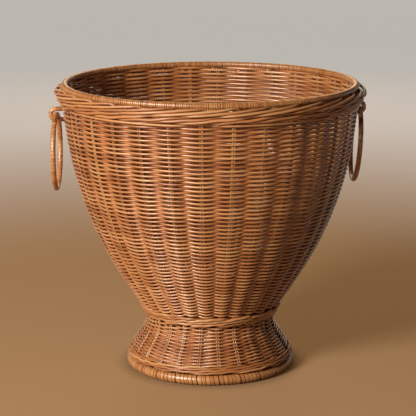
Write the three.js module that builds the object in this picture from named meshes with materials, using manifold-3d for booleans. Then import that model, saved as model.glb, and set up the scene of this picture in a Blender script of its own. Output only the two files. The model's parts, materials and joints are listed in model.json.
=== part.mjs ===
// Rattan vase with ring handles: a round bowl and a flared foot, each woven on paired stakes of its
// own, that meet in a narrow neck. A wrapped hoop carries the foot, a rod border and a wrapped hoop
// finish the mouth, a woven base closes the neck, and two ring handles swing in eyes at the sides.
// Millimetres, +Z up. The origin is on the floor under the middle of the foot. The left handle lies on
// the X axis, and the right one a little behind it.

import * as THREE from 'three';
import { mergeVertices } from 'three/addons/utils/BufferGeometryUtils.js';
import Module from 'manifold-3d';

// Space left between pieces that bear on each other.
const FIT_GAP = 0.3;

// Wall outline, measured to the outside of the weave.
const FOOT_RADIUS = 96;
const FOOT_FLARE_RADIUS = 99;
const FOOT_FLARE_HEIGHT = 24;
const WAIST_RADIUS = 75.4;
const WAIST_HEIGHT = 57;
const WAIST_DROP = 14.6;
const WAIST_RISE = 25.3;
const BELLY_RADIUS = 159;
const BELLY_RISE = 88;
const MOUTH_RADIUS = 170;

// Canes: paired stakes, and the weavers that pass on either side of them. The bowl's canes are doubled,
// so that each makes two stakes. A phase is how far back from the X axis the first stake stands, as a
// part of the pitch.
const BOWL_CANE_COUNT = 15;
const BOWL_STAKE_PHASE = 0.32;
const FOOT_STAKE_COUNT = 24;
const FOOT_STAKE_PHASE = 0;
const STAKE_WIDTH = 5;
const STAKE_THICKNESS = 2.4;
const WEAVER_DIAMETER = 2.3;

// Rows of the plain weave: their distance along the wall, and how far back a row lies outside a stake
// that it passes on the inside.
const ROW_PITCH = 2.5;
const ROW_RELIEF = 1.5;

// Woven bands, from the floor up.
const FOOT_WALE_HEIGHT = 11;
const NECK_WALE_RISE = 5;
const NECK_WALE_HEIGHT = 13.5;
const BOWL_WEAVE_HEIGHT = 233.5;
const UPPER_WALE_HEIGHT = 6.5;
const WALE_PROUD = 0.7;
const UPPER_WALE_PROUD = 3.4;

// Foot hoop with its binding of flat cane.
const FOOT_HOOP_DIAMETER = 9;
const FOOT_BINDING_THICKNESS = 1.2;

// Rod border and the wrapped hoop on the mouth.
const BORDER_SEAT_HEIGHT = 11;
const BORDER_HEIGHT = 13.9;
const BORDER_OVERHANG = 9.3;
const RIM_HOOP_DIAMETER = 5.6;
const RIM_BINDING_THICKNESS = 0.9;

// Woven base in the neck.
const BASE_RISE = 1.5;
const BASE_THICKNESS = 7.4;
const BASE_STICK_DIAMETER = 3;
const BASE_STICK_PITCH = 12;
const BASE_STICKS_EACH_WAY = 3;

// Ring handles and the eyes that hold them, with the angles at which they stand about the axis.
const LEFT_HANDLE_ANGLE = 180;
const RIGHT_HANDLE_ANGLE = 4;
const EYE_REACH = 6.5;
const EYE_COVER = 1.2;
const EYE_HOLE_DIAMETER = 6.8;
const EYE_ROD_DIAMETER = 5.4;
const EYE_CORNER_RADIUS = 3;
const RING_DIAMETER = 90;
const RING_ROD_DIAMETER = 5.4;
const LEFT_RING_TWIST = -7;
const RIGHT_RING_TWIST = -8.8;
const LEFT_RING_LEAN = 0;
const RIGHT_RING_LEAN = 4;

// Facets of the round shapes.
const HOOP_SEGMENTS = 40;
const RING_SEGMENTS = 36;
const ROD_SIDES = 6;
const FOOT_HOOP_SIDES = 8;
const RIM_HOOP_SIDES = 6;
const EYE_BEND_STEPS = 8;
const BORDER_ARC_STEPS = 5;
const FOOT_STEPS = 3;
const BOWL_STEPS = 6;
const CURVE_STEPS = 200;

const wasm = await Module();
wasm.setup();

// Heights of the seams between the bands, and of what stands above and below them.
const seam = FIT_GAP / 2;
const wallHalf = STAKE_THICKNESS / 2 + WEAVER_DIAMETER;
const footBindingInner = FOOT_HOOP_DIAMETER / 2 + FIT_GAP;
const footBindingOuter = footBindingInner + FOOT_BINDING_THICKNESS;
const footHoopHeight = footBindingOuter;
const stakeFoot = footHoopHeight + FOOT_HOOP_DIAMETER / 2 + FIT_GAP;
const footWaleBottom = footHoopHeight + footBindingOuter;
const footWaleTop = footWaleBottom + FOOT_WALE_HEIGHT;
const neckWaleBottom = WAIST_HEIGHT + NECK_WALE_RISE;
const neckWaleTop = neckWaleBottom + NECK_WALE_HEIGHT;
const bowlStakeFoot = neckWaleBottom + seam;
const bowlTop = neckWaleTop + BOWL_WEAVE_HEIGHT;
const mouthHeight = bowlTop + UPPER_WALE_HEIGHT;

const footCurve = new THREE.CubicBezierCurve(
  new THREE.Vector2(FOOT_RADIUS, stakeFoot),
  new THREE.Vector2(FOOT_FLARE_RADIUS, FOOT_FLARE_HEIGHT),
  new THREE.Vector2(WAIST_RADIUS, WAIST_HEIGHT - WAIST_DROP),
  new THREE.Vector2(WAIST_RADIUS, WAIST_HEIGHT),
);
const bowlCurve = new THREE.CubicBezierCurve(
  new THREE.Vector2(WAIST_RADIUS, WAIST_HEIGHT),
  new THREE.Vector2(WAIST_RADIUS, WAIST_HEIGHT + WAIST_RISE),
  new THREE.Vector2(BELLY_RADIUS, WAIST_HEIGHT + BELLY_RISE),
  new THREE.Vector2(MOUTH_RADIUS, mouthHeight),
);

// Place along one of the two curves, from 0 to 1, where it reaches a height.
function placeAtHeight(curve, height) {
  let low = 0;
  let high = 1;
  for (let step = 0; step < 40; step += 1) {
    const middle = (low + high) / 2;
    if (curve.getPoint(middle).y < height) {
      low = middle;
    } else {
      high = middle;
    }
  }
  return (low + high) / 2;
}

// Length along the wall, from its lower end to a height.
function lengthTo(height) {
  const inFoot = height < WAIST_HEIGHT;
  const curve = inFoot ? footCurve : bowlCurve;
  const lengths = curve.getLengths(CURVE_STEPS);
  const place = placeAtHeight(curve, height) * CURVE_STEPS;
  const below = Math.floor(place);
  const along = THREE.MathUtils.lerp(lengths[below], lengths[below + 1], place - below);
  return inFoot ? along : footCurve.getLength() + along;
}

// The outside of the wall at a length along it, and its lean there.
function outsideAt(length) {
  const footLength = footCurve.getLength();
  const inFoot = length < footLength;
  const curve = inFoot ? footCurve : bowlCurve;
  const place = (inFoot ? length : length - footLength) / curve.getLength();
  const { x: radius, y: height } = curve.getPointAt(place);
  return { radius, height, lean: 1 / curve.getTangentAt(place).y };
}

// One level of the wall: the radius of the stakes' middle, and the factor by which a sideways thickness
// grows where the wall leans.
function wallLevel(height) {
  const curve = height < WAIST_HEIGHT ? footCurve : bowlCurve;
  const place = placeAtHeight(curve, height);
  const lean = 1 / curve.getTangent(place).y;
  return { z: height, middle: curve.getPoint(place).x - wallHalf * lean, lean };
}

// Heights that divide a stretch of one curve into even steps along the curve, without the last.
function heightsBetween(curve, low, high, steps) {
  const first = placeAtHeight(curve, low);
  const last = placeAtHeight(curve, high);
  const heights = [];
  for (let step = 0; step < steps; step += 1) {
    heights.push(curve.getPoint(THREE.MathUtils.lerp(first, last, step / steps)).y);
  }
  return heights;
}

const levels = [
  stakeFoot,
  ...heightsBetween(footCurve, footWaleTop, WAIST_HEIGHT, FOOT_STEPS),
  WAIST_HEIGHT,
  ...heightsBetween(bowlCurve, neckWaleTop, bowlTop, BOWL_STEPS),
  bowlTop,
  mouthHeight,
].map(wallLevel);

// The wall at any height, straight between two levels, so that every piece follows the same facets.
function wallAt(height) {
  const found = levels.findIndex((level) => level.z >= height - 1e-6);
  const upper = Math.max(found, 1);
  const below = levels[upper - 1];
  const above = levels[upper];
  const share = (height - below.z) / (above.z - below.z);
  return {
    z: height,
    middle: THREE.MathUtils.lerp(below.middle, above.middle, share),
    lean: THREE.MathUtils.lerp(below.lean, above.lean, share),
  };
}

// The wall's facets from one height to another, both ends included.
function wallBetween(low, high) {
  const inside = levels.filter((level) => level.z > low + FIT_GAP && level.z < high - FIT_GAP);
  return [wallAt(low), ...inside, wallAt(high)];
}

// The two sets of stakes. The bowl's phase leaves the eyes room between two stakes.
const bowlStakes = { count: 2 * BOWL_CANE_COUNT, phase: BOWL_STAKE_PHASE };
const footStakes = { count: FOOT_STAKE_COUNT, phase: FOOT_STAKE_PHASE };

function stakePitch(stakes) {
  return (2 * Math.PI) / stakes.count;
}

function stakeAngle(stakes, index) {
  return (index - stakes.phase) * stakePitch(stakes);
}

function pointAt(radius, angle, sideways = 0) {
  return new THREE.Vector2(radius, sideways).rotateAround(new THREE.Vector2(), angle);
}

// The outline of a stake at one level, grown by a margin, counter-clockwise from above.
function stakeOutline(angle, level, margin) {
  const deep = (STAKE_THICKNESS / 2) * level.lean + margin;
  const wide = STAKE_WIDTH / 2 + margin;
  return [
    pointAt(level.middle - deep, angle, -wide),
    pointAt(level.middle + deep, angle, -wide),
    pointAt(level.middle + deep, angle, wide),
    pointAt(level.middle - deep, angle, wide),
  ];
}

// Triangles between two neighbouring columns of points, both listed upwards, seen from outside. Where the
// next two points are about level, the edge that lies further in is taken, so that each row stands out.
function stitch(left, right, positions, triangles) {
  const heightOf = (column, place) => (place < column.length ? positions[3 * column[place] + 2] : Infinity);
  const radiusOf = (point) => Math.hypot(positions[3 * point], positions[3 * point + 1]);
  let leftPlace = 0;
  let rightPlace = 0;
  while (leftPlace + 1 < left.length || rightPlace + 1 < right.length) {
    const [here, there] = [left[leftPlace], right[rightPlace]];
    const [aboveHere, aboveThere] = [left[leftPlace + 1], right[rightPlace + 1]];
    const rise = heightOf(left, leftPlace + 1) - heightOf(right, rightPlace + 1);
    const leftIsIn = radiusOf(there) + radiusOf(aboveHere) < radiusOf(here) + radiusOf(aboveThere);
    if (Math.abs(rise) < ROW_PITCH / 2 ? leftIsIn : rise < 0) {
      leftPlace += 1;
      triangles.push(here, there, aboveHere);
    } else {
      rightPlace += 1;
      triangles.push(here, there, aboveThere);
    }
  }
}

// A closed solid through outlines at rising levels. Each level has an outer loop, counter-clockwise
// from above, and holes, clockwise. A skin has a column of points over each corner of the outer loop,
// and takes the place of the sides between the lowest and the highest outer loop.
function loft(sections, skin = null) {
  const positions = [];
  const triangles = [];
  const perLevel = sections[0].outer.length + sections[0].holes.flat().length;
  for (const section of sections) {
    for (const point of [section.outer, ...section.holes].flat()) {
      positions.push(point.x, point.y, section.z);
    }
  }
  for (let level = 0; level + 1 < sections.length; level += 1) {
    let start = level * perLevel;
    for (const loop of [sections[level].outer, ...sections[level].holes]) {
      const sides = skin && loop === sections[level].outer ? 0 : loop.length;
      for (let corner = 0; corner < sides; corner += 1) {
        const here = start + corner;
        const next = start + ((corner + 1) % loop.length);
        triangles.push(here, next, next + perLevel, here, next + perLevel, here + perLevel);
      }
      start += loop.length;
    }
  }
  const top = (sections.length - 1) * perLevel;
  if (skin) {
    const columns = skin.map((points, corner) => {
      const start = positions.length / 3;
      positions.push(...points.flatMap((point) => [point.x, point.y, point.z]));
      return [corner, ...points.map((point, place) => start + place), top + corner];
    });
    columns.forEach((column, corner) => {
      stitch(column, columns[(corner + 1) % columns.length], positions, triangles);
    });
  }
  const first = sections[0];
  const last = sections[sections.length - 1];
  for (const [a, b, c] of THREE.ShapeUtils.triangulateShape(first.outer, first.holes)) {
    triangles.push(c, b, a);
  }
  for (const [a, b, c] of THREE.ShapeUtils.triangulateShape(last.outer, last.holes)) {
    triangles.push(top + a, top + b, top + c);
  }
  return indexedGeometry(positions, triangles);
}

function indexedGeometry(positions, triangles) {
  const geometry = new THREE.BufferGeometry();
  geometry.setAttribute('position', new THREE.Float32BufferAttribute(positions, 3));
  geometry.setIndex(triangles);
  return geometry;
}

// A ring about the Z axis from a closed section of (radius, height) points, counter-clockwise.
function ringOfSection(section) {
  const geometry = new THREE.LatheGeometry([...section, section[0]], HOOP_SEGMENTS);
  return geometry.rotateX(Math.PI / 2);
}

// Boolean joins and cuts on closed meshes.
function solidOf(geometry) {
  const bare = geometry.clone();
  bare.deleteAttribute('normal');
  bare.deleteAttribute('uv');
  const merged = mergeVertices(bare, 1e-4);
  const vertProperties = new Float32Array(merged.attributes.position.array);
  const triVerts = new Uint32Array(merged.index.array);
  return new wasm.Manifold(new wasm.Mesh({ numProp: 3, vertProperties, triVerts }));
}

function geometryOf(solid) {
  const mesh = solid.getMesh();
  return indexedGeometry(Array.from(mesh.vertProperties), Array.from(mesh.triVerts));
}

function join(geometries) {
  return geometryOf(geometries.map(solidOf).reduce((whole, part) => whole.add(part)));
}

function subtract(geometry, cutters) {
  return geometryOf(cutters.map(solidOf).reduce((rest, cutter) => rest.subtract(cutter), solidOf(geometry)));
}

// Finishes.
const FINISHES = {
  stakeCane: { color: 0xc99a5b, roughness: 0.5 },
  weaveCane: { color: 0xa9693a, roughness: 0.45 },
  waleCane: { color: 0xa2612f, roughness: 0.45 },
  bindingCane: { color: 0xb5754a, roughness: 0.4 },
  hoopRod: { color: 0x8c5a33, roughness: 0.6 },
};

const vase = new THREE.Group();

function addPiece(name, geometry, finish) {
  const material = new THREE.MeshStandardMaterial({ ...FINISHES[finish], metalness: 0 });
  const piece = new THREE.Mesh(geometry, material);
  piece.name = name;
  vase.add(piece);
}

function numbered(name, number) {
  return `${name}_${String(number).padStart(2, '0')}`;
}

// Stakes, each a pair of canes side by side.
function stake(stakes, index, low, high) {
  const angle = stakeAngle(stakes, index);
  return loft(wallBetween(low, high).map((level) => (
    { z: level.z, outer: stakeOutline(angle, level, 0), holes: [] }
  )));
}

// Where a doubled cane turns from one stake to the next, grown by a margin.
function caneTurn(first, margin) {
  const from = stakeAngle(bowlStakes, first);
  const to = stakeAngle(bowlStakes, first + 1);
  const heights = [bowlStakeFoot - margin, bowlStakeFoot + STAKE_THICKNESS + margin];
  return loft(heights.map((height) => {
    const level = wallAt(height);
    const deep = (STAKE_THICKNESS / 2) * level.lean + margin;
    const outer = [
      pointAt(level.middle - deep, from),
      pointAt(level.middle + deep, from),
      pointAt(level.middle + deep, to),
      pointAt(level.middle - deep, to),
    ];
    return { z: height, outer, holes: [] };
  }));
}

// The foot's stakes stand on the foot hoop and end under the neck wale.
for (let index = 0; index < footStakes.count; index += 1) {
  const upright = stake(footStakes, index, stakeFoot, neckWaleBottom - seam);
  addPiece(numbered('foot_stake', index + 1), upright, 'stakeCane');
}

// The bowl's canes come down as one stake, turn at the foot of the neck wale and go up as the next.
const turnGrooves = [];
for (let number = 1; number <= BOWL_CANE_COUNT; number += 1) {
  const first = 2 * (number - 1);
  const legs = [first, first + 1].map((index) => stake(bowlStakes, index, bowlStakeFoot, mouthHeight));
  addPiece(numbered('bowl_cane', number), join([...legs, caneTurn(first, 0)]), 'stakeCane');
  turnGrooves.push(caneTurn(first, FIT_GAP));
}

// A woven band with a tunnel for every stake.
function wovenBand(low, high, stakes, proud, skin = null) {
  return loft(wallBetween(low, high).map((level) => {
    const outer = [];
    const inner = [];
    const tunnels = [];
    for (let index = 0; index < stakes.count; index += 1) {
      const angle = stakeAngle(stakes, index);
      outer.push(pointAt(level.middle + wallHalf * level.lean + proud, angle));
      inner.unshift(pointAt(level.middle - wallHalf * level.lean, angle));
      tunnels.push(stakeOutline(angle, level, FIT_GAP).reverse());
    }
    return { z: level.z, outer, holes: [inner, ...tunnels] };
  }), skin);
}

// The outside of a plain weave. Two weavers chase each other up the wall, so that a row climbs by two in
// a turn. At a stake the rows lie outside and inside in turn, and between two stakes they cross.
function weaveRows(low, high, stakes) {
  const start = lengthTo(low);
  const length = lengthTo(high) - start;
  const columns = [];
  for (let index = 0; index < stakes.count; index += 1) {
    const climb = (2 * index) / stakes.count;
    const rows = Math.floor(length / ROW_PITCH - climb);
    const column = [];
    for (let row = 0; row < rows; row += 1) {
      const { radius, height, lean } = outsideAt(start + ROW_PITCH * (row + climb + 0.5));
      const depth = (row + index) % 2 === 0 ? 0 : ROW_RELIEF * lean;
      const { x, y } = pointAt(radius - depth, stakeAngle(stakes, index));
      column.push(new THREE.Vector3(x, y, height));
    }
    columns.push(column);
  }
  return columns;
}

function plainWeave(low, high, stakes) {
  return wovenBand(low, high, stakes, 0, weaveRows(low, high, stakes));
}

// The inner side of the bowl's wall at a level, where it is nearest to the axis.
function bowlInside(level) {
  return (level.middle - wallHalf * level.lean) * Math.cos(stakePitch(bowlStakes) / 2);
}

// Eyes: closed bent rods through the top of the bowl weave.
const eyeHeight = bowlTop - EYE_COVER - EYE_ROD_DIAMETER - EYE_HOLE_DIAMETER / 2;
const eyeCentre = MOUTH_RADIUS + EYE_REACH;
const eyeBend = (EYE_HOLE_DIAMETER + EYE_ROD_DIAMETER) / 2;
const eyeWall = wallAt(eyeHeight - eyeBend - EYE_ROD_DIAMETER / 2);
const eyeInner = bowlInside(eyeWall) - FIT_GAP - EYE_ROD_DIAMETER / 2;

function arcPoints(centreX, centreZ, radius, from, to, steps) {
  const points = [];
  for (let step = 0; step <= steps; step += 1) {
    const angle = THREE.MathUtils.degToRad(THREE.MathUtils.lerp(from, to, step / steps));
    points.push(new THREE.Vector2(centreX + radius * Math.cos(angle), centreZ + radius * Math.sin(angle)));
  }
  return points;
}

// The eye's line in the upright plane through the axis: round outside, cornered inside the wall.
function eyeLine() {
  const cornerX = eyeInner + EYE_CORNER_RADIUS;
  const cornerRise = eyeBend - EYE_CORNER_RADIUS;
  const cornerSteps = EYE_BEND_STEPS / 4;
  return [
    ...arcPoints(eyeCentre, eyeHeight, eyeBend, -90, 90, EYE_BEND_STEPS),
    ...arcPoints(cornerX, eyeHeight + cornerRise, EYE_CORNER_RADIUS, 90, 180, cornerSteps),
    ...arcPoints(cornerX, eyeHeight - cornerRise, EYE_CORNER_RADIUS, 180, 270, cornerSteps),
  ];
}

// A closed tube round a flat line in the XZ plane, with a round section.
function closedTube(line, radius) {
  const positions = [];
  const triangles = [];
  line.forEach((point, index) => {
    const before = line[(index + line.length - 1) % line.length];
    const after = line[(index + 1) % line.length];
    const along = after.clone().sub(before).normalize();
    for (let side = 0; side < ROD_SIDES; side += 1) {
      const angle = (2 * Math.PI * side) / ROD_SIDES;
      const outward = radius * Math.cos(angle);
      positions.push(point.x + along.y * outward, radius * Math.sin(angle), point.y - along.x * outward);
      const next = (side + 1) % ROD_SIDES;
      const here = index * ROD_SIDES;
      const there = ((index + 1) % line.length) * ROD_SIDES;
      triangles.push(here + side, here + next, there + next, here + side, there + next, there + side);
    }
  });
  return indexedGeometry(positions, triangles);
}

function eye(handleAngle, margin) {
  const geometry = closedTube(eyeLine(), EYE_ROD_DIAMETER / 2 + margin);
  return geometry.rotateZ(THREE.MathUtils.degToRad(handleAngle));
}

const eyeHoles = [eye(LEFT_HANDLE_ANGLE, FIT_GAP), eye(RIGHT_HANDLE_ANGLE, FIT_GAP)];

// Woven bands, from the floor up, with a small gap at every seam.
const footWale = wovenBand(footWaleBottom + FIT_GAP, footWaleTop - seam, footStakes, WALE_PROUD);
const footWeave = plainWeave(footWaleTop + seam, neckWaleBottom - seam, footStakes);
const neckWale = wovenBand(bowlStakeFoot, neckWaleTop - seam, bowlStakes, WALE_PROUD);
const bowlWeave = plainWeave(neckWaleTop + seam, bowlTop - seam, bowlStakes);
const upperWale = wovenBand(bowlTop + seam, mouthHeight, bowlStakes, UPPER_WALE_PROUD);
addPiece('foot_wale', footWale, 'waleCane');
addPiece('foot_weave', footWeave, 'weaveCane');
addPiece('neck_wale', subtract(neckWale, turnGrooves), 'waleCane');
addPiece('bowl_weave', subtract(bowlWeave, eyeHoles), 'weaveCane');
addPiece('upper_wale', upperWale, 'waleCane');

// The round section of a hoop as (radius, height) points, clockwise from the outer end of its flat
// top side.
function roundSection(centreRadius, centreHeight, halfAcross, sides) {
  const corner = halfAcross / Math.cos(Math.PI / sides);
  const points = [];
  for (let side = 0; side < sides; side += 1) {
    const angle = Math.PI / 2 - (Math.PI * (1 + 2 * side)) / sides;
    points.push(new THREE.Vector2(
      centreRadius + corner * Math.cos(angle),
      centreHeight + corner * Math.sin(angle),
    ));
  }
  return points;
}

function hoop(centreRadius, centreHeight, diameter, sides) {
  return ringOfSection(roundSection(centreRadius, centreHeight, diameter / 2, sides).reverse());
}

// A binding wrapped round a hoop, open along one of its flat sides, counted from the top side.
function openSleeve(centreRadius, centreHeight, inner, outer, sides, openSide) {
  const turned = (points) => [...points.slice(openSide), ...points.slice(0, openSide)];
  const inside = turned(roundSection(centreRadius, centreHeight, inner, sides));
  const outside = turned(roundSection(centreRadius, centreHeight, outer, sides));
  return ringOfSection([...inside, ...outside.reverse()]);
}

// Foot hoop and its binding, which stands flat on the floor and is open above, for the stakes.
const footHoopRadius = levels[0].middle;
const footSleeve = [footHoopRadius, footHoopHeight, footBindingInner, footBindingOuter, FOOT_HOOP_SIDES];
addPiece('foot_hoop', hoop(footHoopRadius, footHoopHeight, FOOT_HOOP_DIAMETER, FOOT_HOOP_SIDES), 'hoopRod');
addPiece('foot_binding', openSleeve(...footSleeve, 0), 'bindingCane');

// Rim hoop and its binding, seated on the border and open below, where it is laced to the border.
const mouth = levels[levels.length - 1];
const borderBottom = mouthHeight + FIT_GAP;
const borderSeat = borderBottom + BORDER_SEAT_HEIGHT;
const rimBindingInner = RIM_HOOP_DIAMETER / 2 + FIT_GAP;
const rimBindingOuter = rimBindingInner + RIM_BINDING_THICKNESS;
const rimHoopHeight = borderSeat + FIT_GAP + rimBindingOuter;
const rimSleeve = [mouth.middle, rimHoopHeight, rimBindingInner, rimBindingOuter, RIM_HOOP_SIDES];
addPiece('rim_hoop', hoop(mouth.middle, rimHoopHeight, RIM_HOOP_DIAMETER, RIM_HOOP_SIDES), 'hoopRod');
addPiece('rim_binding', openSleeve(...rimSleeve, RIM_HOOP_SIDES / 2), 'bindingCane');

// Rod border: it bulges out over the wall and rises beside the hoop.
function rimBorder() {
  const inner = mouth.middle - wallHalf;
  const shoulder = mouth.middle + rimBindingOuter / Math.cos(Math.PI / RIM_HOOP_SIDES) + FIT_GAP;
  const bulge = mouth.middle + wallHalf + BORDER_OVERHANG - shoulder;
  const halfHeight = BORDER_HEIGHT / 2;
  const section = [new THREE.Vector2(inner, borderBottom)];
  for (let step = 0; step <= BORDER_ARC_STEPS; step += 1) {
    const angle = Math.PI * (step / BORDER_ARC_STEPS - 0.5);
    section.push(new THREE.Vector2(
      shoulder + bulge * Math.cos(angle),
      borderBottom + halfHeight + halfHeight * Math.sin(angle),
    ));
  }
  section.push(new THREE.Vector2(shoulder, borderSeat));
  section.push(new THREE.Vector2(inner, borderSeat));
  return ringOfSection(section);
}

addPiece('rim_border', rimBorder(), 'waleCane');

// Base in the neck: two layers of crossed sticks, let into a woven disc with a sloping edge that
// rests in the narrowing wall.
const baseBottom = neckWaleTop + BASE_RISE;
const baseTop = baseBottom + BASE_THICKNESS;

function baseRadius(height) {
  return bowlInside(wallAt(height)) - FIT_GAP;
}

// Middle heights of the lower layer of sticks, along X, and the upper layer, along Y.
const stickHeights = [baseBottom + BASE_STICK_DIAMETER / 2, baseTop - BASE_STICK_DIAMETER / 2];

function baseStick(offset, layer, margin) {
  const reach = baseRadius(baseBottom) - BASE_STICK_DIAMETER;
  const length = 2 * Math.sqrt(reach * reach - offset * offset) + 2 * margin;
  const radius = BASE_STICK_DIAMETER / 2 + margin;
  const geometry = new THREE.CylinderGeometry(radius, radius, length, ROD_SIDES);
  geometry.translate(offset, 0, stickHeights[layer]);
  return layer === 0 ? geometry.rotateZ(Math.PI / 2) : geometry;
}

const baseDisc = new THREE.LatheGeometry([
  new THREE.Vector2(0, baseBottom),
  new THREE.Vector2(baseRadius(baseBottom), baseBottom),
  new THREE.Vector2(baseRadius(baseTop), baseTop),
  new THREE.Vector2(0, baseTop),
], HOOP_SEGMENTS).rotateX(Math.PI / 2);

const stickGrooves = [];
for (let layer = 0; layer < stickHeights.length; layer += 1) {
  for (let index = 0; index < BASE_STICKS_EACH_WAY; index += 1) {
    const offset = (index - (BASE_STICKS_EACH_WAY - 1) / 2) * BASE_STICK_PITCH;
    const layerName = layer === 0 ? 'lower' : 'upper';
    addPiece(`base_stick_${layerName}_${index + 1}`, baseStick(offset, layer, 0), 'stakeCane');
    stickGrooves.push(baseStick(offset, layer, FIT_GAP));
  }
}
addPiece('base_weave', subtract(baseDisc, stickGrooves), 'weaveCane');

// Ring handles, hanging in the eyes, each turned a little about its upright and leaning in towards the
// bowl as it came to rest.
const ringLine = (RING_DIAMETER - RING_ROD_DIAMETER) / 2;
const ringPivot = eyeHeight - EYE_HOLE_DIAMETER / 2 + FIT_GAP + RING_ROD_DIAMETER / 2;

function ring(handleAngle, twist, lean) {
  const geometry = new THREE.TorusGeometry(ringLine, RING_ROD_DIAMETER / 2, ROD_SIDES, RING_SEGMENTS);
  geometry.rotateY(Math.PI / 2).translate(0, 0, -ringLine);
  geometry.rotateY(THREE.MathUtils.degToRad(lean)).rotateZ(THREE.MathUtils.degToRad(twist));
  geometry.translate(eyeCentre, 0, ringPivot);
  return geometry.rotateZ(THREE.MathUtils.degToRad(handleAngle));
}

addPiece('right_eye', eye(RIGHT_HANDLE_ANGLE, 0), 'bindingCane');
addPiece('left_eye', eye(LEFT_HANDLE_ANGLE, 0), 'bindingCane');
addPiece('right_ring', ring(RIGHT_HANDLE_ANGLE, RIGHT_RING_TWIST, RIGHT_RING_LEAN), 'bindingCane');
addPiece('left_ring', ring(LEFT_HANDLE_ANGLE, LEFT_RING_TWIST, LEFT_RING_LEAN), 'bindingCane');

export default vase;
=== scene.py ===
# Rattan vase with ring handles: every cane of the weave, the finishes and the studio around them.
# Sizes are millimetres until a piece is made, and the frame is the solids' own: +Z up, the origin on
# the floor under the foot, the left ring handle on the X axis and the right one a little behind it.

import json
import math

import bpy
import numpy as np
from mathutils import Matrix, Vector


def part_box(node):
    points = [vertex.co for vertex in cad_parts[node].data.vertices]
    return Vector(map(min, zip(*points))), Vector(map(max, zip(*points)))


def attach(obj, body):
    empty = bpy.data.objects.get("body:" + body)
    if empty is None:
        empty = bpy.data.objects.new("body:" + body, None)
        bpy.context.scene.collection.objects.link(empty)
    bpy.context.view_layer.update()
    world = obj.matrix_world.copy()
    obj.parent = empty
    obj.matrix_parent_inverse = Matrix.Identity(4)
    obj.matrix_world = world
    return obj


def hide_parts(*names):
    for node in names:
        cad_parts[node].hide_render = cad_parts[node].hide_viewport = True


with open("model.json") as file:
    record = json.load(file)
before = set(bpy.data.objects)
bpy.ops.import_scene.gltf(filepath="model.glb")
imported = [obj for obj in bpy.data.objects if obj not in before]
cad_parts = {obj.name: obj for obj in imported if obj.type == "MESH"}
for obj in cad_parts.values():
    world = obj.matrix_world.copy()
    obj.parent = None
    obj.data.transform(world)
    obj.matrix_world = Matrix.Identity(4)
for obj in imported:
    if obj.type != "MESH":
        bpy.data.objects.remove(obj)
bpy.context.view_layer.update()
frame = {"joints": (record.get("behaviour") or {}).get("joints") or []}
chance = np.random.default_rng(30)

MM = 0.001

# Wall outline, measured to the outside of the weave, as radius and height. The wall goes on above the
# mouth, behind the border, to just under the hoop.
FOOT_RADIUS = 96
FOOT_FLARE = (99, 24)
WAIST_RADIUS = 75.4
WAIST_HEIGHT = 57
WAIST_DROP = 14.6
WAIST_RISE = 25.3
BELLY = (159, 145)
MOUTH_RADIUS = 170
RIM_RISE = 11.5
WALL_HALF = 3.5

# Stakes: pairs of round cane. A phase is how far back from the X axis the first stake stands, in pitches.
# The middles of a pair lie a little more than half a cane to each side.
BOWL_STAKES = {"count": 30, "phase": 0.32}
FOOT_STAKES = {"count": 24, "phase": 0.0}
STAKE_CANE = 2.4
PAIR_HALF = 0.51 * STAKE_CANE

# Weavers: the distance between rows, their size along and out of the wall, the share by which they are
# pressed wider inside it, how much they are painted paler on the outer face where they pass outside the
# stakes and darker on it where they pass behind them, as painted light on the floats and painted shade in the
# slits, and the length of one cane. A row strays along the wall slowly and quickly, except by the ends of the
# weave, and its reach out of it varies by a share. The foot is woven of finer cane.
BOWL_WEAVER = {"pitch": 2.5, "wide": 2.85, "thick": 2.3}
FOOT_WEAVER = {"pitch": 1.9, "wide": 2.45, "thick": 1.9}
WEAVER_SPREAD = 0.17
WEAVER_PAINTED_SHADE = 0.4
WEAVER_LENGTHS = (1100, 2300)
ROW_STRAYS = (0.45, 0.14)
ROW_REACH_SPREAD = 0.08
LEVEL_ROWS = 3

# Points along a woven cane from one stake to the next.
STEPS = 8

# Wales: how many rods go round together, and how many stakes apart they start. Distances out of the wall are
# taken from the stakes' middle line. A rod comes out within about a stake of its dip. It strays along the
# wall by a share of its thickness, and out of it.
FOOT_WALE = {"rods": 4, "step": 2}
NECK_WALE = {"rods": 4, "step": 2}
UPPER_WALE = {"rods": 3, "step": 1}
UPPER_WALE_HEIGHTS = (311.6, 321.6)
UPPER_WALE_OUT = (5.2, 9.0)
UPPER_WALE_DIP = 3.2
WALE_RISE = 1.1
WALE_STRAY = 0.28
WALE_STRAY_OUT = 0.2
# Painted light and shade on the rods: their outer faces paler and their inner faces darker by this much.
ROD_PAINTED_SHADE = 0.35
BACKING_ROWS = 4
BACKING_WIDE = 4.6

# One cane under the upper wale: the stake of its first dip, how many stakes a float and a dip take, how far
# in and out it goes, and within how many stakes of a dip it is out.
LOCKING_CANE = 2.6
LOCKING_FIRST = 2
LOCKING_PERIOD = 5
LOCKING_DIP = -2.0
LOCKING_OUT = 4.3
LOCKING_RISE = 0.9

# Border rods: each rises from behind the bulge, comes out under the hoop and winds down over the bulge past
# the next two stakes. It rolls over from the first angle to the second, faster at first, and its end is
# tucked in. It strays a little, and its middle lies looser or tighter.
BORDER_ROD = 3.1
BORDER_FLOAT = 2.7
BORDER_ROLL = (106, -24)
BORDER_ROLL_POWER = 0.58
BORDER_SHOULDER = 171.4
BORDER_TUCK = 4.5
BORDER_TUCK_FROM = 0.72
BORDER_START_IN = 5
BORDER_START_UP = 6
BORDER_START_RIGHT = 0.3
BORDER_STRAY = 0.25
BORDER_LOOSE = (-0.5, 0.4)

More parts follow.
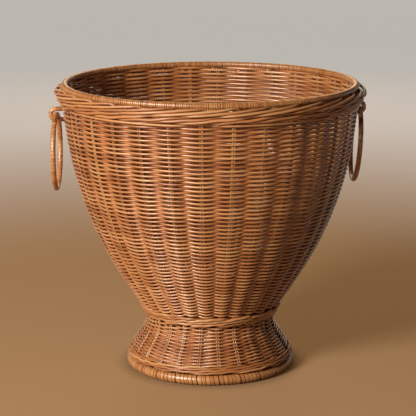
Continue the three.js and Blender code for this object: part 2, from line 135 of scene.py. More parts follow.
# Hoops and handles, and what is wrapped round them. A cover is the share of its pitch that a strip fills, and
# strips vary in width by a share.
FOOT_HOOP = 9
FOOT_STRIP = 1.2
FOOT_WRAPS_PER_STAKE = 5
FOOT_SLIT = 1.3
FOOT_COVER = 0.98
RIM_HOOP = 5.6
RIM_STRIP = 0.9
RIM_WRAPS = 430
RIM_COVER = 0.8
EYE_ROD = 5.4
EYE_HOLE = 6.8
EYE_CORNER = 3
EYE_WRAP_PITCH = 3.1
EYE_COVER = 0.94
RING_RADIUS = 42.3
RING_ROD = 6
RING_WRAPS = 70
RING_COVER = 0.97
RING_LEAN = {"left": 0, "right": 4}
HANDLE_STRIP = 0.7
STRIP_SPREAD = 0.12

# Base in the neck. The strands swing up and down by a share of the weave's height.
BASE_STICK = 3
BASE_STICK_TAPER = 0.25
BASE_WEAVER = 2.5
BASE_ROW_PITCH = 2.7
BASE_START = 19
BASE_SWING = 0.28


def height_range(*nodes):
    """Lowest and highest point of CAD nodes, in millimetres."""
    boxes = [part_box(node) for node in nodes]
    return min(low.z for low, high in boxes) / MM, max(high.z for low, high in boxes) / MM


def outer_radius(node):
    low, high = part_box(node)
    return (high.x - low.x) / 2 / MM


STAKE_BOTTOM, FOOT_STAKE_TOP = height_range("foot_stake_01")
BOWL_CANE_BOTTOM, MOUTH_HEIGHT = height_range("bowl_cane_01")


# The wall

def bezier(corners, steps):
    share = np.linspace(0, 1, steps)[:, None]
    a, b, c, d = np.array(corners, float)
    rest = 1 - share
    return rest**3 * a + 3 * rest**2 * share * b + 3 * rest * share**2 * c + share**3 * d


def wall_line():
    """The wall by length up its outside: the outside's heights, the stakes' middle line and the way out."""
    waist = (WAIST_RADIUS, WAIST_HEIGHT)
    foot = bezier([(FOOT_RADIUS, STAKE_BOTTOM), FOOT_FLARE,
                   (WAIST_RADIUS, WAIST_HEIGHT - WAIST_DROP), waist], 200)
    bowl = bezier([waist, (WAIST_RADIUS, WAIST_HEIGHT + WAIST_RISE), BELLY,
                   (MOUTH_RADIUS, MOUTH_HEIGHT)], 600)
    rim = np.array([(MOUTH_RADIUS, MOUTH_HEIGHT + rise) for rise in np.linspace(0, RIM_RISE, 20)])
    outside = np.concatenate([foot, bowl[1:], rim[1:]])
    along = np.gradient(outside, axis=0)
    along /= np.linalg.norm(along, axis=1, keepdims=True)
    out = np.stack([along[:, 1], -along[:, 0]], 1)
    steps = np.linalg.norm(np.diff(outside, axis=0), axis=1)
    return np.concatenate([[0], np.cumsum(steps)]), outside[:, 1], outside - WALL_HALF * out, out


WALL_LENGTH, WALL_HEIGHT, WALL_MIDDLE, WALL_OUT = wall_line()


def length_at(height):
    return np.interp(height, WALL_HEIGHT, WALL_LENGTH)


def stake_pitch(stakes):
    return 2 * math.pi / stakes["count"]


def stake_angle(stakes, place):
    """The angle about the axis of a place that is counted in stakes."""
    return (place - stakes["phase"]) * stake_pitch(stakes)


def around(radius, angle, height):
    return np.stack(np.broadcast_arrays(radius * np.cos(angle), radius * np.sin(angle), height), -1)


def on_wall(length, angle, out):
    """Points and outward directions at a length up the wall, an angle and a distance out of its middle."""
    radius, height = (np.interp(length, WALL_LENGTH, WALL_MIDDLE[:, k]) for k in (0, 1))
    out_radius, out_height = (np.interp(length, WALL_LENGTH, WALL_OUT[:, k]) for k in (0, 1))
    points = around(radius + out * out_radius, angle, height + out * out_height)
    return points, around(out_radius, angle, out_height)


def ease(share):
    """A smooth step from 0 to 1."""
    share = np.clip(share, 0, 1)
    return share * share * (3 - 2 * share)


# Canes as meshes. A woven cane follows a worked-out line over hundreds of crossings, so it is swept along it.

def sweep(points, outward, wide, thick, sides, square=2.0, closed=False, tint=0.5, painted_shade=0.0):
    """A cane along points, its thickness towards outward. A square of 2 is round, 4 is a flat strip. The
    painted shade makes it paler on its outer side and darker on its inner side, as painted light and shade."""
    along = np.roll(points, -1, 0) - np.roll(points, 1, 0)
    if not closed:
        along[0] = points[1] - points[0]
        along[-1] = points[-1] - points[-2]
    along = along / np.linalg.norm(along, axis=1, keepdims=True)
    deep = outward - (outward * along).sum(1, keepdims=True) * along
    deep = deep / np.linalg.norm(deep, axis=1, keepdims=True)
    across = np.cross(along, deep)
    count = len(points)
    angle = 2 * np.pi * (np.arange(sides) + 0.5) / sides
    corner_across = np.sign(np.cos(angle)) * np.abs(np.cos(angle)) ** (2 / square) / 2
    corner_deep = np.sign(np.sin(angle)) * np.abs(np.sin(angle)) ** (2 / square) / 2
    wide = np.broadcast_to(wide, count)[:, None, None]
    thick = np.broadcast_to(thick, count)[:, None, None]
    corners = (points[:, None] + across[:, None] * corner_across[None, :, None] * wide
               + deep[:, None] * corner_deep[None, :, None] * thick)
    rings = np.arange(count if closed else count - 1)
    here, there = rings[:, None] * sides, ((rings + 1) % count)[:, None] * sides
    side, next_side = np.arange(sides)[None], ((np.arange(sides) + 1) % sides)[None]
    quads = np.stack([here + side, there + side, there + next_side, here + next_side], -1)
    run = np.linalg.norm(np.diff(points, axis=0, append=points[:1]), axis=1)
    length = np.concatenate([[0], np.cumsum(run)])
    girth = np.pi * (wide.mean() + thick.mean()) / 2
    start, end = length[rings][:, None] + 0 * side, length[rings + 1][:, None] + 0 * side
    low, high = girth * side / sides + 0 * start, girth * (side + 1) / sides + 0 * start
    uv = np.stack([np.stack([start, low], -1), np.stack([end, low], -1),
                   np.stack([end, high], -1), np.stack([start, high], -1)], 2)
    caps = [] if closed else [np.arange(sides), (count - 1) * sides + np.arange(sides)[::-1]]
    # Painted light and shade: the outer faces are made paler and the inner faces darker.
    tints = np.broadcast_to(tint, count)[:, None] + np.broadcast_to(painted_shade, count)[:, None] * 2 * corner_deep
    return {"corners": corners.reshape(-1, 3), "quads": quads.reshape(-1, 4),
            "uv": uv.reshape(-1, 4, 2), "caps": caps, "tint": tints.ravel()}


def piece(name, canes, material, nodes, body="vase", sharp=None):
    """One mesh of all these canes, in place of CAD nodes. Its UV map is metres along and round each cane."""
    corners, tints, faces, uvs, sizes = [], [], [], [], []
    start = 0
    for cane in canes:
        corners.append(cane["corners"])
        tints.append(cane["tint"])
        faces.append((cane["quads"] + start).ravel())
        uvs.append(cane["uv"].reshape(-1, 2) + chance.uniform(0, 500, 2))
        sizes.append(np.full(len(cane["quads"]), 4))
        for cap in cane["caps"]:
            faces.append(cap + start)
            uvs.append(np.zeros((len(cap), 2)))
            sizes.append(np.array([len(cap)]))
        start += len(cane["corners"])
    faces, sizes = np.concatenate(faces), np.concatenate(sizes)
    mesh = bpy.data.meshes.new(name)
    mesh.vertices.add(start)
    mesh.vertices.foreach_set("co", (np.concatenate(corners) * MM).astype(np.float32).ravel())
    mesh.loops.add(len(faces))
    mesh.loops.foreach_set("vertex_index", faces.astype(np.int32))
    mesh.polygons.add(len(sizes))
    mesh.polygons.foreach_set("loop_start", (np.cumsum(sizes) - sizes).astype(np.int32))
    mesh.polygons.foreach_set("use_smooth", np.ones(len(sizes), bool))
    mesh.update(calc_edges=True)
    layer = mesh.uv_layers.new(name="Along")
    layer.uv.foreach_set("vector", (np.concatenate(uvs) * MM).astype(np.float32).ravel())
    tint = mesh.attributes.new("tint", "FLOAT", "POINT")
    tint.data.foreach_set("value", np.concatenate(tints).astype(np.float32))
    if sharp is not None:
        mesh.set_sharp_from_angle(angle=math.radians(sharp))
    made = bpy.data.objects.new(name, mesh)
    bpy.context.scene.collection.objects.link(made)
    mesh.materials.append(material)
    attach(made, body)
    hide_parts(*nodes)
    return made


# Slow and quick wandering of the canes about the axis: waves per turn, change per row, and phase.
DRIFT = [(waves, chance.uniform(0.1, 0.35), chance.uniform(0, 6.28)) for waves in (2, 3, 5, 8)]
JITTER = [(waves, chance.uniform(1.6, 3.0), chance.uniform(0, 6.28)) for waves in (13, 19, 31)]


def wander(angle, row, waves):
    return sum(np.sin(count * angle + rate * row + phase) for count, rate, phase in waves) / len(waves)


# Materials. The fibres weigh a little less than the tint and the flecks in the choice between the shades,
# whose ends lie at these sums of the three.
FIBRE_WEIGHT = 0.7
SHADE_SPAN = (0.55, 2.05)
ROUGHNESS_SPREAD = 0.08


def linear(hex_colour):
    """An sRGB hex colour as linear RGBA."""
    parts = [int(hex_colour[k:k + 2], 16) / 255 for k in (1, 3, 5)]
    return [c / 12.92 if c <= 0.04045 else ((c + 0.055) / 1.055) ** 2.4 for c in parts] + [1]


def add(tree, kind, inputs=None, **settings):
    """A node with its settings, and with values or links for its inputs."""
    made = tree.nodes.new(kind)
    for name, value in settings.items():
        setattr(made, name, value)
    for socket, value in (inputs or {}).items():
        if isinstance(value, bpy.types.NodeSocket):
            tree.links.new(value, made.inputs[socket])
        else:
            made.inputs[socket].default_value = value
    return made


def cane_material(name, shades, fibre_mm, fleck_mm, roughness, coat, bump_mm):
    """Cane with fibres along it. Its tint, slow flecks and fine fibres choose between the shades."""
    material = bpy.data.materials.new(name)
    material.use_nodes = True
    tree = material.node_tree
    shader = tree.nodes["Principled BSDF"]
    place = add(tree, "ShaderNodeUVMap", uv_map="Along").outputs["UV"]
    tint = add(tree, "ShaderNodeAttribute", attribute_name="tint").outputs["Fac"]
    fibre_scale = (1 / (fibre_mm[0] * MM), 1 / (fibre_mm[1] * MM), 1)
    fibre_place = add(tree, "ShaderNodeMapping", {"Vector": place, "Scale": fibre_scale})
    fibres = add(tree, "ShaderNodeTexNoise", {"Vector": fibre_place.outputs["Vector"], "Scale": 1.0,
                                              "Detail": 2.0, "Roughness": 0.6}).outputs["Fac"]
    fleck_scale = (1 / (fleck_mm[0] * MM), 1 / (fleck_mm[1] * MM), 1)
    fleck_place = add(tree, "ShaderNodeMapping", {"Vector": place, "Scale": fleck_scale})
    flecks = add(tree, "ShaderNodeTexNoise", {"Vector": fleck_place.outputs["Vector"], "Scale": 1.0,
                                              "Detail": 1.0}).outputs["Fac"]
    blended = add(tree, "ShaderNodeMath", {0: tint, 1: flecks}, operation="ADD").outputs["Value"]
    blended = add(tree, "ShaderNodeMath", {0: fibres, 1: FIBRE_WEIGHT, 2: blended},
                  operation="MULTIPLY_ADD").outputs["Value"]
    share = add(tree, "ShaderNodeMapRange", {"Value": blended, "From Min": SHADE_SPAN[0],
                                             "From Max": SHADE_SPAN[1]}).outputs["Result"]
    ramp = add(tree, "ShaderNodeValToRGB", {"Fac": share})
    for index, shade in enumerate(shades):
        position = index / (len(shades) - 1)
        stops = ramp.color_ramp.elements
        stop = stops[index] if index < 2 else stops.new(position)
        stop.position = position
        stop.color = linear(shade)
    rough = add(tree, "ShaderNodeMapRange", {"Value": fibres, "To Min": roughness - ROUGHNESS_SPREAD,
                                             "To Max": roughness + ROUGHNESS_SPREAD})
    bump = add(tree, "ShaderNodeBump", {"Height": fibres, "Strength": 0.5, "Distance": bump_mm * MM})
    tree.links.new(ramp.outputs["Color"], shader.inputs["Base Color"])
    tree.links.new(rough.outputs["Result"], shader.inputs["Roughness"])
    tree.links.new(bump.outputs["Normal"], shader.inputs["Normal"])
    shader.inputs["IOR"].default_value = 1.5
    shader.inputs["Specular IOR Level"].default_value = 0.9
    shader.inputs["Coat Weight"].default_value = coat
    shader.inputs["Coat Roughness"].default_value = 0.22
    return material


# Rattan core drawn round, stained and lacquered: warm brown, with long fibres and a satin shine. Its outer
# faces are painted paler and its inner faces darker through the tint, as painted light and shade.
stained_core = cane_material("stained_rattan_core", ["#74411e", "#a46333", "#c4844f", "#dba773"],
                             (14, 0.5), (45, 8), 0.4, 0.5, 0.06)
# The same core with little stain under the lacquer: tan to straw from cane to cane.
natural_core = cane_material("natural_rattan_core", ["#6b3a1a", "#945a2d", "#bf8848", "#dcae70"],
                             (18, 0.5), (60, 8), 0.48, 0.7, 0.05)
# Thicker stained rods, more even, a little darker and duller than the core.
stained_rod = cane_material("stained_rattan_rod", ["#6f3d1c", "#9d5e30", "#bd7d49", "#d6a06c"],
                            (20, 0.6), (60, 10), 0.45, 0.1, 0.08)
# Flat cane split from the outer skin: smooth and glossy, with a fine grain along the strip.
flat_cane = cane_material("stained_flat_cane", ["#844d26", "#b2713d", "#cb8f57", "#deab74"],
                          (25, 0.45), (30, 4), 0.4, 0.6, 0.05)
# A bent rod under the wrapping: duller, seen only between the wraps.
bent_rod = cane_material("bent_rattan_rod", ["#5d351c", "#7f4c2a", "#9a643a"],
                         (30, 0.7), (60, 10), 0.65, 0.1, 0.08)


# Stakes, as pairs of round cane side by side

def beside(length, side):
    """The angle that moves a cane half a pair aside at a length up the wall."""
    return side * PAIR_HALF / np.interp(length, WALL_LENGTH, WALL_MIDDLE[:, 0])


def foot_stake(index, side):
    length = np.linspace(0, length_at(FOOT_STAKE_TOP), 14)
    angle = stake_angle(FOOT_STAKES, index) + beside(length, side)
    points, outward = on_wall(length, angle, 0.0)
    return sweep(points, outward, STAKE_CANE, STAKE_CANE, 8, tint=chance.uniform(0, 1) ** 2)


def bowl_cane(number, side):
    """One cane of a doubled pair: down as one stake, round the turn in the neck and up as the next."""
    first = 2 * (number - 1)
    turn_length = length_at(BOWL_CANE_BOTTOM) + STAKE_CANE * (0.5 if side > 0 else 1.5)
    down = np.linspace(WALL_LENGTH[-1], turn_length, 40)
    left, right = (stake_angle(BOWL_STAKES, first + leg) for leg in (0, 1))
    across = np.linspace(left, right, 7)[1:-1]
    length = np.concatenate([down, np.full(len(across), turn_length), down[::-1]])
    angle = np.concatenate([left - beside(down, side), across, right + beside(down[::-1], side)])
    points, outward = on_wall(length, angle, 0.0)
    half = len(length) // 2
    tint = np.repeat(chance.uniform(0, 1, 2) ** 2, [half, len(length) - half])
    return sweep(points, outward, STAKE_CANE, STAKE_CANE, 8, tint=tint)


for number in range(1, FOOT_STAKES["count"] + 1):
    canes = [foot_stake(number - 1, side) for side in (-1, 1)]
    piece(f"foot_stake_canes_{number:02d}", canes, natural_core, [f"foot_stake_{number:02d}"])

for number in range(1, BOWL_STAKES["count"] // 2 + 1):
    canes = [bowl_cane(number, side) for side in (-1, 1)]
    piece(f"bowl_stake_canes_{number:02d}", canes, natural_core, [f"bowl_cane_{number:02d}"])


# Plain weave: two strands chase each other up the wall, one outside each stake where the other is inside.

def weaver(stakes, cane, strand, place, low, rows):
    row = strand + 2 * place / stakes["count"]
    angle = stake_angle(stakes, place)
    edge = np.clip(np.minimum(row, rows - row) / LEVEL_ROWS, 0, 1)
    shift = edge * (ROW_STRAYS[0] * wander(angle, row, DRIFT) + ROW_STRAYS[1] * wander(angle, row, JITTER))
    spread = ROW_REACH_SPREAD * wander(angle, 1.7 * row, JITTER)
    reach = (STAKE_CANE + cane["thick"]) / 2 * (1 + spread)
    length = low + cane["pitch"] * (row + 0.5 + shift / BOWL_WEAVER["pitch"])
    side = np.cos(np.pi * (place + strand))
    points, outward = on_wall(length, angle, reach * side)
    size = chance.uniform(0.94, 1.06)
    wide = cane["wide"] * size * (1 - WEAVER_SPREAD * side)
    # Painted light and shade: paler faces where the row passes outside a stake, darker where it passes
    # behind.
    return sweep(points, outward, wide, cane["thick"] * size, 8, tint=chance.uniform(0.15, 0.7),
                 painted_shade=WEAVER_PAINTED_SHADE * side)


def plain_weave(stakes, cane, low, high):
    """Canes of the weave between two heights. Each new cane starts inside the wall, at a stake."""
    low, high = length_at(low), length_at(high)
    count = stakes["count"]
    rows = math.floor((high - low) / cane["pitch"])
    canes = []
    for strand in (0, 1):
        first, last = -(strand + 1) * count // 2, (rows - strand) * count // 2
        start = first
        while start < last:
            row = strand + 2 * start / count
            radius = np.interp(low + cane["pitch"] * row, WALL_LENGTH, WALL_MIDDLE[:, 0])
            end = start + round(chance.uniform(*WEAVER_LENGTHS) / (radius * stake_pitch(stakes)))
            end += 1 - (end + strand) % 2
            end = last if last - end < count else end
            place = np.clip(np.arange(start * STEPS - 3, end * STEPS + 4) / STEPS, first, last)
            canes.append(weaver(stakes, cane, strand, np.unique(place), low, rows))
            start = end
    return canes


def weave_pieces(name, canes, node, parts):
    for part, share in enumerate(np.array_split(np.arange(len(canes)), parts)):
        piece(f"{name}_{part + 1}", [canes[k] for k in share], stained_core, [node])


foot_canes = plain_weave(FOOT_STAKES, FOOT_WEAVER, *height_range("foot_weave"))
weave_pieces("foot_weave_canes", foot_canes, "foot_weave", 1)
# The bowl's weave goes on inside the border, up to the hoop.
WEAVE_LOW, WEAVE_HIGH = height_range("bowl_weave")
bowl_canes = plain_weave(BOWL_STAKES, BOWL_WEAVER, WEAVE_LOW, MOUTH_HEIGHT + RIM_RISE)
is_rim = [cane["corners"][:, 2].mean() > WEAVE_HIGH for cane in bowl_canes]
weave_pieces("bowl_weave_canes", [cane for cane, top in zip(bowl_canes, is_rim) if not top], "bowl_weave", 5)
weave_pieces("rim_weave_canes", [cane for cane, top in zip(bowl_canes, is_rim) if top], "rim_border", 1)


# Wales: rods that start a step of stakes apart. Each floats outside, climbing over the ones that started
# before it, and then dips behind a stake and starts again below.

def wale_rod(stakes, first, rods, step, low, thick, outside, inside):
    period = rods * step
    place = np.arange(stakes["count"] * STEPS) / STEPS
    angle = stake_angle(stakes, place)
    along = ((place - first * step) % period) / step
    near = np.minimum(along, rods - along)
    dip = np.where(along < 0.5, along, along - rods)
    climb = np.where(near < 0.5, -dip * (rods - 1), along - rods / 2)
    shown = ease(near * step / WALE_RISE)
    length = low + thick * (rods / 2 + climb) + WALE_STRAY * thick * wander(angle, first, JITTER)
    height_share = (rods / 2 + climb) / rods
    outer = outside[0] + (outside[1] - outside[0]) * height_share
    outer += WALE_STRAY_OUT * wander(angle, first + 3, DRIFT)
    points, outward = on_wall(length, angle, inside + (outer - inside) * shown)
    size = thick * chance.uniform(1.0, 1.1)
    # Painted light and shade: the rod's outer face paler, its inner face darker.
    return sweep(points, outward, size, size, 8, closed=True, tint=chance.uniform(0, 0.8), painted_shade=ROD_PAINTED_SHADE)


def wale(stakes, low, high, kind, outside=None, inside=None):
    low, high = length_at(low), length_at(high)
    thick = (high - low) / kind["rods"]
    reach = (STAKE_CANE + thick) / 2
    outside = outside or (reach, reach)
    inside = -reach if inside is None else inside
    return [wale_rod(stakes, first, kind["rods"], kind["step"], low, thick, outside, inside)
            for first in range(kind["rods"])]


def backing(stakes, low, high):
    """Plain rods inside the stakes, behind a wale."""
    angle = stake_angle(stakes, np.arange(stakes["count"] * 4) / 4)
    canes = []
    for length in np.linspace(length_at(low), length_at(high), BACKING_ROWS):
        points, outward = on_wall(np.full(len(angle), length), angle, -STAKE_CANE - BOWL_WEAVER["thick"])
        canes.append(sweep(points, outward, BACKING_WIDE, BOWL_WEAVER["thick"], 8, closed=True, tint=0.3))
    return canes


foot_wale_heights, neck_wale_heights = height_range("foot_wale"), height_range("neck_wale")
foot_rods = wale(FOOT_STAKES, *foot_wale_heights, FOOT_WALE) + backing(FOOT_STAKES, *foot_wale_heights)
piece("foot_wale_rods", foot_rods, stained_rod, ["foot_wale"])
neck_rods = wale(BOWL_STAKES, *neck_wale_heights, NECK_WALE) + backing(BOWL_STAKES, *neck_wale_heights)
piece("neck_wale_rods", neck_rods, stained_rod, ["neck_wale"])
upper_rods = wale(BOWL_STAKES, *UPPER_WALE_HEIGHTS, UPPER_WALE, UPPER_WALE_OUT, UPPER_WALE_DIP)
piece("upper_wale_rods", upper_rods, stained_rod, ["upper_wale"])


# One pale cane under the upper wale, over four stakes and behind the fifth.

def locking_cane():
    place = np.arange(BOWL_STAKES["count"] * STEPS) / STEPS
    along = (place - LOCKING_FIRST) % LOCKING_PERIOD
    near = np.minimum(along, LOCKING_PERIOD - along)
    out = LOCKING_DIP + (LOCKING_OUT - LOCKING_DIP) * ease(near / LOCKING_RISE)
    length = np.full(len(place), length_at(height_range("upper_wale")[0]) + LOCKING_CANE / 2)
    points, outward = on_wall(length, stake_angle(BOWL_STAKES, place), out)
    return sweep(points, outward, LOCKING_CANE, LOCKING_CANE, 8, closed=True, tint=0.9)


piece("locking_cane", [locking_cane()], stained_rod, ["upper_wale"])


# Border: at each stake a rod comes out under the hoop in a tight elbow and winds down to the left over
# the bulge, where its end is tucked in behind the wale.
BORDER_LOW, BORDER_HIGH = height_range("rim_border")


def border_rod(index):
    thick = BORDER_ROD * chance.uniform(0.94, 1.08)
    half_wide = outer_radius("rim_border") - BORDER_SHOULDER - BORDER_ROD / 2
    half_high = (BORDER_HIGH - BORDER_LOW) / 2 - BORDER_ROD / 2
    run = np.linspace(0, 1, 48)
    roll = np.radians(BORDER_ROLL[0] + (BORDER_ROLL[1] - BORDER_ROLL[0]) * run**BORDER_ROLL_POWER)
    angle = stake_angle(BOWL_STAKES, index - BORDER_FLOAT * run)
    loose = chance.uniform(*BORDER_LOOSE) * np.sin(np.pi * run)
    loose += BORDER_STRAY * wander(angle, index, JITTER)
    tuck = BORDER_TUCK * ease((run - BORDER_TUCK_FROM) / (1 - BORDER_TUCK_FROM))
    radius = BORDER_SHOULDER + (half_wide + loose) * np.cos(roll) - tuck
    height = (BORDER_LOW + BORDER_HIGH) / 2 + (half_high + loose) * np.sin(roll)
    rise = np.linspace(0, 1, 7)[:-1]
    start_radius, start_height = BORDER_SHOULDER - BORDER_START_IN, BORDER_LOW + BORDER_START_UP
    rise_angle = stake_angle(BOWL_STAKES, index + BORDER_START_RIGHT * (1 - rise))
    rise_radius = start_radius + (radius[0] - start_radius) * rise
    rise_height = start_height + (height[0] - start_height) * np.sin(rise * np.pi / 2)
    points = np.concatenate([around(rise_radius, rise_angle, rise_height), around(radius, angle, height)])
    lean = np.concatenate([np.full(len(rise), roll[0]), roll])
    outward = around(np.cos(lean), np.concatenate([rise_angle, angle]), np.sin(lean))
    # Painted light and shade: the rod's outer face paler, its inner face darker.
    return sweep(points, outward, thick, thick, 8, tint=chance.uniform(0, 0.85), painted_shade=ROD_PAINTED_SHADE)


piece("border_rods", [border_rod(index) for index in range(BOWL_STAKES["count"])],
      stained_rod, ["rim_border"])


# Wrapped rods

def wrap(line, outward, turns, reach, wide, thick, steps,
         group=None, slit=0.0, loose=0.14, shades=(0.1, 0.95)):
    """A flat strip wound round a closed line, its shade changing from wrap to wrap. Where the wraps are in
    groups, a slit parts them."""
    line = np.concatenate([line, line[:1]])
    outward = np.concatenate([outward, outward[:1]])
    run = np.concatenate([[0], np.cumsum(np.linalg.norm(np.diff(line, axis=0), axis=1))])
    turn = np.arange(turns * steps) / steps
    slits = turns // group * slit if group else 0.0
    place = turn * (run[-1] - slits) / turns
    if group:
        place += slit * (np.floor(turn / group) + ease((turn % group - group + 0.3) / 0.3))
    shift = np.interp(turn, np.arange(turns + 1), chance.uniform(-loose, loose, turns + 1))
    place += shift * run[-1] / turns
    place %= run[-1]
    at = np.stack([np.interp(place, run, line[:, k]) for k in range(3)], -1)
    out = np.stack([np.interp(place, run, outward[:, k]) for k in range(3)], -1)
    ahead = np.stack([np.interp(place, run, np.gradient(line[:, k], run)) for k in range(3)], -1)
    ahead /= np.linalg.norm(ahead, axis=1, keepdims=True)
    out = out - (out * ahead).sum(1, keepdims=True) * ahead
    out /= np.linalg.norm(out, axis=1, keepdims=True)
    side = np.cross(ahead, out)
    angle = 2 * np.pi * turn[:, None] + np.pi
    away = np.cos(angle) * out + np.sin(angle) * side
    tint = np.repeat(chance.uniform(*shades, turns), steps)
    widths = wide * (1 + STRIP_SPREAD * np.sin(3.1 * turn) * np.sin(0.37 * turn))
    return sweep(at + away * (reach + thick / 2), away, widths, thick, 6, square=3.2, closed=True, tint=tint)


def circle(radius, height, count):
    angle = 2 * np.pi * np.arange(count) / count
    return around(radius, angle, height), around(1.0, angle, 0.0)


# Rim hoop with fine wraps.
rim_radius = outer_radius("rim_hoop") - RIM_HOOP / 2 / math.cos(math.pi / 6)
rim_line, rim_out = circle(rim_radius, sum(height_range("rim_binding")) / 2, 360)
piece("rim_hoop_rod", [sweep(rim_line, rim_out, RIM_HOOP, RIM_HOOP, 12, closed=True)],
      bent_rod, ["rim_hoop"])
rim_wide = 2 * math.pi * rim_radius / RIM_WRAPS * RIM_COVER
rim_wraps = wrap(rim_line, rim_out, RIM_WRAPS, RIM_HOOP / 2, rim_wide, RIM_STRIP, 12,
                 loose=0.25, shades=(0.3, 0.7))
piece("rim_wraps", [rim_wraps], flat_cane, ["rim_binding"], sharp=60)

# Foot hoop with wider wraps, in groups between the stakes.
FOOT_LOW, FOOT_HIGH = height_range("foot_binding")
foot_radius = WALL_MIDDLE[0, 0]
foot_height = (FOOT_LOW + FOOT_HIGH) / 2
foot_line, foot_out = circle(foot_radius, foot_height, 240)
piece("foot_hoop_rod", [sweep(foot_line, foot_out, FOOT_HOOP, FOOT_HOOP, 14, closed=True)],
      bent_rod, ["foot_hoop"])
foot_turns = FOOT_WRAPS_PER_STAKE * FOOT_STAKES["count"]
foot_group = 2 * math.pi * foot_radius / FOOT_STAKES["count"] - FOOT_SLIT
foot_wide = foot_group / FOOT_WRAPS_PER_STAKE * FOOT_COVER
foot_wraps = wrap(foot_line, foot_out, foot_turns, FOOT_HOOP / 2, foot_wide, FOOT_STRIP, 16,
                  group=FOOT_WRAPS_PER_STAKE, slit=FOOT_SLIT, loose=0.06, shades=(0.35, 0.8))
piece("foot_wraps", [foot_wraps], flat_cane, ["foot_binding"], sharp=60)


# Eyes and ring handles

def eye_line(handle_angle):
    """The eye's line in the upright plane through the axis: round outside, cornered inside the wall."""
    low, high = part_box("left_eye")
    bend = (EYE_HOLE + EYE_ROD) / 2
    inner = -high.x / MM + EYE_ROD / 2
    centre = -low.x / MM - bend - EYE_ROD / 2
    arc = np.radians(np.linspace(-90, 90, 17))
    corner = np.radians(np.linspace(0, 90, 7))
    rise = bend - EYE_CORNER
    over = np.concatenate([centre + bend * np.cos(arc), inner + EYE_CORNER * (1 - np.sin(corner)),
                           inner + EYE_CORNER * (1 - np.cos(corner))])
    up = np.concatenate([bend * np.sin(arc), rise + EYE_CORNER * np.cos(corner),
                         -rise - EYE_CORNER * np.sin(corner)])
    ahead_over, ahead_up = (np.roll(part, -1) - np.roll(part, 1) for part in (over, up))
    size = np.hypot(ahead_over, ahead_up)
    points = around(over, handle_angle, (low.z + high.z) / 2 / MM + up)
    return points, around(ahead_up / size, handle_angle, -ahead_over / size)


def eye_canes(handle_angle):
    line, outward = eye_line(handle_angle)
    length = np.linalg.norm(np.diff(line, axis=0, append=line[:1]), axis=1).sum()
    core = EYE_ROD - 2 * HANDLE_STRIP
    turns = round(length / EYE_WRAP_PITCH)
    return [sweep(line, outward, core, core, 8, closed=True),
            wrap(line, outward, turns, core / 2, EYE_WRAP_PITCH * EYE_COVER, HANDLE_STRIP, 12)]


def ring_canes(pivot, axis, lean):
    """A wrapped ring that hangs from its pivot and leans in towards the bowl by an angle in degrees."""
    angle = 2 * np.pi * np.arange(120) / 120
    away = np.cross(axis, [0, 0, 1])
    away *= np.sign(away @ pivot)
    up = np.array([0, 0, math.cos(math.radians(lean))]) + away * math.sin(math.radians(lean))
    outward = np.cos(angle)[:, None] * axis + np.sin(angle)[:, None] * up
    line = pivot - RING_RADIUS * up + RING_RADIUS * outward
    core = RING_ROD - 2 * HANDLE_STRIP
    wide = 2 * math.pi * RING_RADIUS / RING_WRAPS * RING_COVER
    return [sweep(line, outward, core, core, 10, closed=True),
            wrap(line, outward, RING_WRAPS, core / 2, wide, HANDLE_STRIP, 14)]


joints = {joint["child"]: joint for joint in frame["joints"]}
for name in ("right", "left"):
    ring = f"{name}_ring"
    pivot, axis = np.array(joints[ring]["pos_m"]) / MM, np.array(joints[ring]["axis"])
    handle_angle = math.atan2(pivot[1], pivot[0])
    eye = eye_canes(handle_angle)
    piece(f"{name}_eye_wraps", eye, flat_cane, [f"{name}_eye"], sharp=60)
    hung_ring = ring_canes(pivot, axis, RING_LEAN[name])
    piece(f"{ring}_wraps", hung_ring, flat_cane, [ring], body=ring, sharp=60)


# Base: crossed sticks and a chased weave of two strands round them.

def base_stick(node):
    low, high = (np.array(corner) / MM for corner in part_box(node))
    lengthwise = 0 if high[0] - low[0] > high[1] - low[1] else 1
    count = 24
    points = np.tile((low + high) / 2, (count, 1))
    points[:, lengthwise] = np.linspace(low[lengthwise], high[lengthwise], count)
    outward = np.tile([0.0, 0, 1], (count, 1))
    taper = BASE_STICK * (1 - BASE_STICK_TAPER * np.abs(np.linspace(-1, 1, count)) ** 6)
    return sweep(points, outward, taper, taper, 10, tint=chance.uniform(0.2, 0.9))


base_sticks = [f"base_stick_{layer}_{number}" for layer in ("lower", "upper") for number in (1, 2, 3)]
for node in base_sticks:
    piece(f"{node}_cane", [base_stick(node)], natural_core, [node])


def base_strand(first):
    low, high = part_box("base_weave")
    edge = (high.x - low.x) / 2 / MM - BASE_WEAVER
    bottom, top = height_range("base_weave")
    turns = (edge - BASE_START) / (2 * BASE_ROW_PITCH)
    spokes = 2 * len(base_sticks)
    count = int(turns * spokes * STEPS)
    place = np.arange(count) / STEPS
    angle = place * 2 * np.pi / spokes + first * np.pi
    radius = BASE_START + first * BASE_ROW_PITCH + 2 * BASE_ROW_PITCH * place / spokes
    swing = (-1) ** first * np.cos(np.pi * place) * (top - bottom) * BASE_SWING
    points = around(radius, angle, (top + bottom) / 2 + swing)
    outward = np.tile([0.0, 0, 1], (count, 1))
    return sweep(points, outward, BASE_WEAVER, BASE_WEAVER, 8, tint=chance.uniform(0.2, 0.8))


piece("base_weave_canes", [base_strand(0), base_strand(1)], stained_core, ["base_weave"])


# Studio: a matt floor and backdrop, a large soft light from the front left, a weak one from behind and a dim
# room. The floor's glow is cut away under and just round the foot, a painted contact shadow; it glows a warm
# tan close by and turns pale grey further off. These distances from the vase's axis, the sizes of the lights
# and the places below are in metres.
FLOOR_PAINTED_SHADOW = (0.088, 0.118)
FLOOR_GLOW = 0.54
FLOOR_WARM = (0.45, 1.9)
LIGHT_AIM = (0, 0, 0.18)


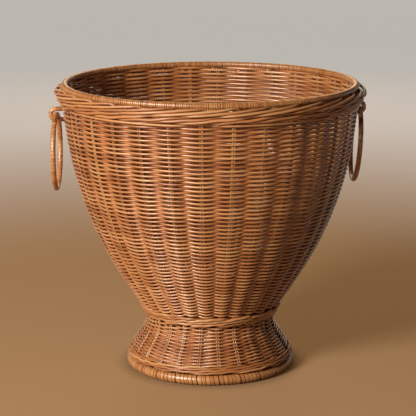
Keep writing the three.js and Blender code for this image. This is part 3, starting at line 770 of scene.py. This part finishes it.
def seen_ray(tree):
    """1 for a ray that shows the background itself, in the camera or through a shine or glass."""
    path = add(tree, "ShaderNodeLightPath").outputs
    shine = add(tree, "ShaderNodeMath", {0: path["Is Glossy Ray"], 1: path["Is Transmission Ray"]},
                operation="MAXIMUM").outputs["Value"]
    return add(tree, "ShaderNodeMath", {0: path["Is Camera Ray"], 1: shine},
               operation="MAXIMUM").outputs["Value"]


bpy.ops.object.select_all(action="DESELECT")
bpy.ops.mesh.primitive_plane_add(size=12)
floor = bpy.context.object
floor.name = "studio_floor"
floor_paint = bpy.data.materials.new("matt_floor_paint")
floor_paint.use_nodes = True
floor_tree = floor_paint.node_tree
floor_shader = floor_tree.nodes["Principled BSDF"]
floor_place = add(floor_tree, "ShaderNodeTexCoord").outputs["Object"]
floor_reach = add(floor_tree, "ShaderNodeVectorMath", {0: floor_place}, operation="LENGTH").outputs["Value"]
# Painted contact shadow: the glow fades to nothing under and just round the vase's foot.
floor_shadowed_glow = add(floor_tree, "ShaderNodeMapRange",
                   {"Value": floor_reach, "From Min": FLOOR_PAINTED_SHADOW[0], "From Max": FLOOR_PAINTED_SHADOW[1],
                    "To Max": FLOOR_GLOW}, interpolation_type="SMOOTHSTEP")
floor_glow = add(floor_tree, "ShaderNodeMath",
                 {0: seen_ray(floor_tree), 1: floor_shadowed_glow.outputs["Result"]}, operation="MULTIPLY")
floor_far = add(floor_tree, "ShaderNodeMapRange",
                {"Value": floor_reach, "From Min": FLOOR_WARM[0], "From Max": FLOOR_WARM[1]},
                interpolation_type="SMOOTHSTEP")
floor_tint = add(floor_tree, "ShaderNodeMix", {"Factor": floor_far.outputs["Result"],
                                               "A": linear("#946d43"), "B": linear("#eeebe3")},
                 data_type="RGBA")
floor_tree.links.new(floor_glow.outputs["Value"], floor_shader.inputs["Emission Strength"])
floor_tree.links.new(floor_tint.outputs["Result"], floor_shader.inputs["Emission Color"])
floor_shader.inputs["Base Color"].default_value = linear("#8f7355")
floor_shader.inputs["Roughness"].default_value = 0.9
floor.data.materials.append(floor_paint)
bpy.ops.mesh.primitive_cylinder_add(vertices=96, radius=5.5, depth=3.2, end_fill_type="NOTHING")
wall = bpy.context.object
wall.name = "studio_wall"
wall.data.materials.append(floor_paint)


def soft_light(name, place, size, power, colour):
    bpy.ops.object.light_add(type="AREA", location=place)
    light = bpy.context.object
    light.name = name
    light.data.shape = "DISK"
    light.data.size = size
    light.data.energy = power
    light.data.color = linear(colour)[:3]
    aim = Vector(LIGHT_AIM) - Vector(place)
    light.rotation_mode = "QUATERNION"
    light.rotation_quaternion = aim.to_track_quat("-Z", "Y")


soft_light("key_light", (-1.62, -1.49, 1.18), 0.8, 70, "#fff3e4")
soft_light("back_light", (0.25, 2.1, 1.1), 1.2, 8, "#ffdcb4")

world = bpy.data.worlds.new("studio")
world.use_nodes = True
world_tree = world.node_tree
room = world_tree.nodes["Background"]
room.inputs["Color"].default_value = linear("#dcae84")
room.inputs["Strength"].default_value = 0.038
bpy.context.scene.world = world

# Camera, in front and a little to the left of the handles' square-on view, looking down.
CAMERA_PLACE = (-0.2162, -1.8744, 0.6054)
CAMERA_AIM = (0.1105, 0.9698, -0.2174)
CAMERA_LENS = 143.8
bpy.ops.object.camera_add(location=CAMERA_PLACE)
camera = bpy.context.object
camera.data.lens = CAMERA_LENS
camera.data.sensor_width = 36
camera.rotation_mode = "QUATERNION"
camera.rotation_quaternion = Vector(CAMERA_AIM).to_track_quat("-Z", "Y")
bpy.context.scene.camera = camera
bpy.context.scene.view_settings.view_transform = "Standard"

bpy.context.view_layer.update()
